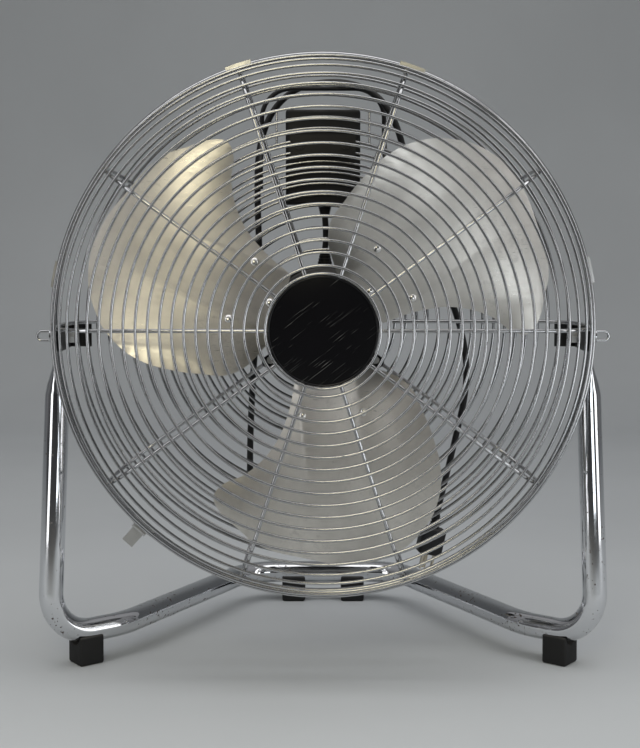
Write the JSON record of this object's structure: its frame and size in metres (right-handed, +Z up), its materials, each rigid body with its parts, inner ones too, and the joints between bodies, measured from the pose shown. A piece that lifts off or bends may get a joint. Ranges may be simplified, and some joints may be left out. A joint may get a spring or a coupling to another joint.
{
  "type": "floor fan",
  "caption": "Tilting floor fan with a chrome wire cage, wide aluminium blades, rear motor and switch box, on a bent chrome tube stand with rubber feet",
  "frame": {"origin": "on the floor, below the middle of the part's box without its cord", "axes": "+Z up, -Y the way the fan blows, +X to the right as seen from the front"},
  "size_m": [0.601, 0.3817, 0.6361],
  "materials": {
    "chrome_wire": "polished",
    "blade_metal": "satin",
    "zinc_steel": "satin",
    "black_paint": "semi-gloss",
    "core_iron": "plain",
    "winding_copper": "enamelled",
    "black_plastic": "matte",
    "badge_gloss": "gloss",
    "foot_rubber": "matte",
    "cord_rubber": "satin",
    "prong_brass": "bright"
  },
  "bodies": {
    "stand": {"stand_tube": "chrome_wire", "front_feet": "foot_rubber", "rear_feet": "foot_rubber", "foot_screws": "zinc_steel", "tilt_washers": "black_plastic"},
    "head": {"front_guard_rings": "chrome_wire", "front_guard_spokes": "chrome_wire", "rear_guard_rings": "chrome_wire", "rear_guard_spokes": "chrome_wire", "rim_clips": "zinc_steel", "latch_clip": "zinc_steel", "latch_pin": "zinc_steel", "badge_plate": "badge_gloss", "badge_retainer": "zinc_steel", "badge_screws": "zinc_steel", "left_pivot_bracket": "black_paint", "right_pivot_bracket": "black_paint", "pivot_nuts": "zinc_steel", "motor_plate": "black_paint", "motor_front_shell": "black_paint", "motor_rear_shell": "black_paint", "motor_bolts": "zinc_steel", "front_bearing": "zinc_steel", "rear_bearing": "zinc_steel", "stator_core": "core_iron", "stator_windings": "winding_copper", "motor_gland": "cord_rubber", "motor_lead": "cord_rubber", "lead_gland": "cord_rubber", "switch_box": "black_plastic", "switch_box_cover": "black_plastic", "cover_screws": "zinc_steel", "box_strap": "black_paint", "strap_screws": "zinc_steel", "box_guide_wires": "chrome_wire", "rotary_switch": "black_plastic", "cord_gland": "cord_rubber", "cord_hanger": "black_paint", "power_cord": "cord_rubber", "plug_body": "cord_rubber", "plug_prongs": "prong_brass"},
    "rotor": {"motor_shaft": "zinc_steel", "rotor_core": "core_iron", "blade_spider": "black_paint", "blade_left": "blade_metal", "blade_right": "blade_metal", "blade_lower": "blade_metal", "blade_rivets": "blade_metal", "hub_set_screw": "zinc_steel"},
    "knob": {"speed_knob": "black_plastic"},
    "latch": {"latch_lever": "zinc_steel"},
    "left_screw": {"left_tilt_screw": "chrome_wire"},
    "right_screw": {"right_tilt_screw": "chrome_wire"}
  },
  "joints": [
    {"name": "head_tilt", "type": "hinge", "parent": "stand", "child": "head", "pos_m": [0, -0.07254, 0.346], "axis": [1, 0, 0], "range_deg": [-90, 15]},
    {"name": "blade_spin", "type": "hinge", "parent": "head", "child": "rotor", "pos_m": [0, -0.07254, 0.36], "axis": [0, 1, 0], "continuous": true},
    {"name": "knob_turn", "type": "hinge", "parent": "head", "child": "knob", "pos_m": [0, -0.00254, 0.5338], "axis": [0, 1, 0], "range_deg": [0, 135]},
    {"name": "latch_swing", "type": "hinge", "parent": "head", "child": "latch", "pos_m": [-0.18757, -0.11654, 0.15168], "axis": [0.7431, 0, -0.6691], "range_deg": [0, 85]},
    {"name": "left_screw_turn", "type": "hinge", "parent": "stand", "child": "left_screw", "pos_m": [-0.27767, -0.07254, 0.346], "axis": [1, 0, 0], "continuous": true},
    {"name": "right_screw_turn", "type": "hinge", "parent": "stand", "child": "right_screw", "pos_m": [0.27767, -0.07254, 0.346], "axis": [1, 0, 0], "continuous": true}
  ]
}
